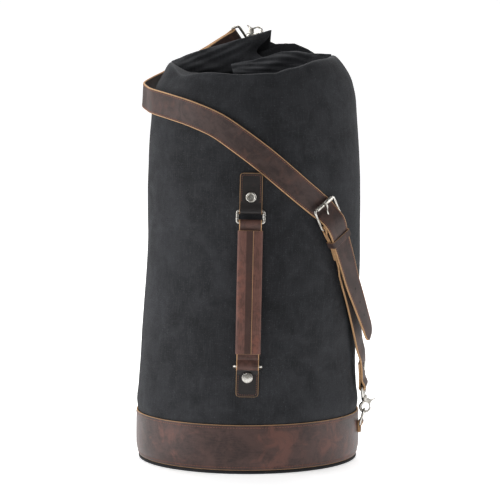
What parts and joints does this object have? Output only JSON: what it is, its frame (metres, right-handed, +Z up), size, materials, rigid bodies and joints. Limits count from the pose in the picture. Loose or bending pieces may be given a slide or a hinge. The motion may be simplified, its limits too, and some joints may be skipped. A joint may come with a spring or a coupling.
{
  "type": "rope storage bag",
  "caption": "Round waxed-canvas rope bag with a leather base band, a leather grab handle on two rings and a buckled leather shoulder strap clipped at mouth and base.",
  "frame": {"origin": "middle of the underside of the base panel", "axes": "+Z up along the bag, -Y towards the side with the grab handle, +X towards the side where the shoulder strap comes down"},
  "size_m": [0.3556, 0.3527, 0.6407],
  "materials": {
    "canvas": "waxed charcoal canvas, matt with soft creases",
    "base_cloth": "plain black cloth",
    "board": "plain fibre board",
    "band_leather": "pull-up leather with raw tan edges, satin",
    "strap_leather": "smooth brown leather with raw tan edges, satin",
    "handle_leather": "reddish brown leather, satin",
    "chape_leather": "dark leather with raw tan edges, satin",
    "nickel": "nickel plate, softly polished"
  },
  "bodies": {
    "root": {"canvas_body": "canvas", "mouth_fold_left": "canvas", "mouth_fold_right": "canvas", "mouth_hem_back": "canvas", "mouth_eyelet": "nickel", "base_panel": "base_cloth", "base_board": "board", "base_band": "band_leather", "band_tab": "band_leather", "handle_top_chape": "chape_leather", "handle_bottom_chape": "chape_leather", "handle_top_rivet": "nickel", "handle_bottom_rivet": "nickel", "shoulder_strap_long": "strap_leather", "shoulder_strap_short": "strap_leather", "strap_rivet_lower": "nickel", "strap_rivet_top": "nickel", "buckle_frame": "nickel"},
    "top_ring": {"handle_top_ring": "nickel"},
    "grip": {"handle_grip_strap": "handle_leather", "handle_sleeve": "handle_leather"},
    "bottom_ring": {"handle_bottom_ring": "nickel"},
    "prong": {"buckle_prong": "nickel"},
    "roller": {"buckle_roller": "nickel"},
    "keeper": {"strap_keeper": "strap_leather"},
    "lower_eye": {"lower_snap_eye": "nickel"},
    "lower_hook": {"lower_snap_hook": "nickel", "lower_snap_gate_pin": "nickel"},
    "lower_gate": {"lower_snap_gate": "nickel"},
    "d_ring": {"band_d_ring": "nickel"},
    "top_eye": {"top_snap_eye": "nickel"},
    "top_hook": {"top_snap_hook": "nickel", "top_snap_gate_pin": "nickel"},
    "top_gate": {"top_snap_gate": "nickel"},
    "closure_ring": {"closure_ring": "nickel"}
  },
  "joints": [
    {"name": "top_ring", "type": "hinge", "parent": "root", "child": "top_ring", "pos_m": [0.00511, -0.1621, 0.38198], "axis": [-0.9998, 0, 0.0208], "range_deg": [0, 40]},
    {"name": "grip", "type": "hinge", "parent": "top_ring", "child": "grip", "pos_m": [0.00476, -0.16329, 0.36502], "axis": [-0.9998, 0, 0.0208], "range_deg": [-44, 0]},
    {"name": "bottom_ring", "type": "hinge", "parent": "root", "child": "bottom_ring", "pos_m": [0.00042, -0.1651, 0.15602], "axis": [-0.9998, 0, 0.0208], "range_deg": [0, 12]},
    {"name": "prong", "type": "hinge", "parent": "root", "child": "prong", "pos_m": [0.12199, -0.12094, 0.3608], "axis": [0.641, 0.5935, 0.4867], "range_deg": [0, 10]},
    {"name": "roller", "type": "hinge", "parent": "root", "child": "roller", "pos_m": [0.11046, -0.13156, 0.38893], "axis": [0.641, 0.5935, 0.4867], "continuous": true},
    {"name": "keeper", "type": "slide", "parent": "root", "child": "keeper", "axis": [-0.319, -0.3366, 0.886], "range_m": [-0.005, 0.002]},
    {"name": "lower_eye", "type": "hinge", "parent": "root", "child": "lower_eye", "pos_m": [0.17198, -0.02413, 0.11011], "axis": [-0.1385, -0.9852, -0.1015], "range_deg": [0, 1.8]},
    {"name": "lower_hook", "type": "hinge", "parent": "lower_eye", "child": "lower_hook", "pos_m": [0.17498, -0.02108, 0.07638], "axis": [-0.0884, -0.0898, 0.992], "range_deg": [-10, 10]},
    {"name": "lower_gate", "type": "hinge", "parent": "lower_hook", "child": "lower_gate", "pos_m": [0.18073, -0.02271, 0.08562], "axis": [0.1205, 0.9876, 0.1002], "range_deg": [0, 14], "stiffness_Nm_per_rad": 0.02},
    {"name": "d_ring", "type": "hinge", "parent": "root", "child": "d_ring", "pos_m": [0.16848, -0.02188, 0.0545], "axis": [0.1288, 0.9917, 0], "range_deg": [0, 3]},
    {"name": "top_eye", "type": "hinge", "parent": "root", "child": "top_eye", "pos_m": [-0.013, 0.058, 0.618], "axis": [0.5123, 0.3615, -0.779], "range_deg": [-0.5, 2.5]},
    {"name": "top_hook", "type": "hinge", "parent": "top_eye", "child": "top_hook", "pos_m": [0.01535, 0.04348, 0.6299], "axis": [-0.8337, 0.4271, -0.3501], "range_deg": [-10, 10]},
    {"name": "top_gate", "type": "hinge", "parent": "top_hook", "child": "top_gate", "pos_m": [0.00595, 0.04829, 0.63301], "axis": [0.4559, 0.89, 0], "range_deg": [0, 14], "stiffness_Nm_per_rad": 0.02},
    {"name": "closure_ring", "type": "hinge", "parent": "root", "child": "closure_ring", "pos_m": [0.01535, 0.04348, 0.6089], "axis": [0.4559, 0.89, 0], "range_deg": [0, 3]}
  ],
  "couplings": [
    {"joint": "grip", "follows": "top_ring", "ratio": -1.085},
    {"joint": "bottom_ring", "follows": "top_ring", "ratio": 0.286},
    {"joint": "d_ring", "follows": "lower_eye", "ratio": 1.66}
  ]
}
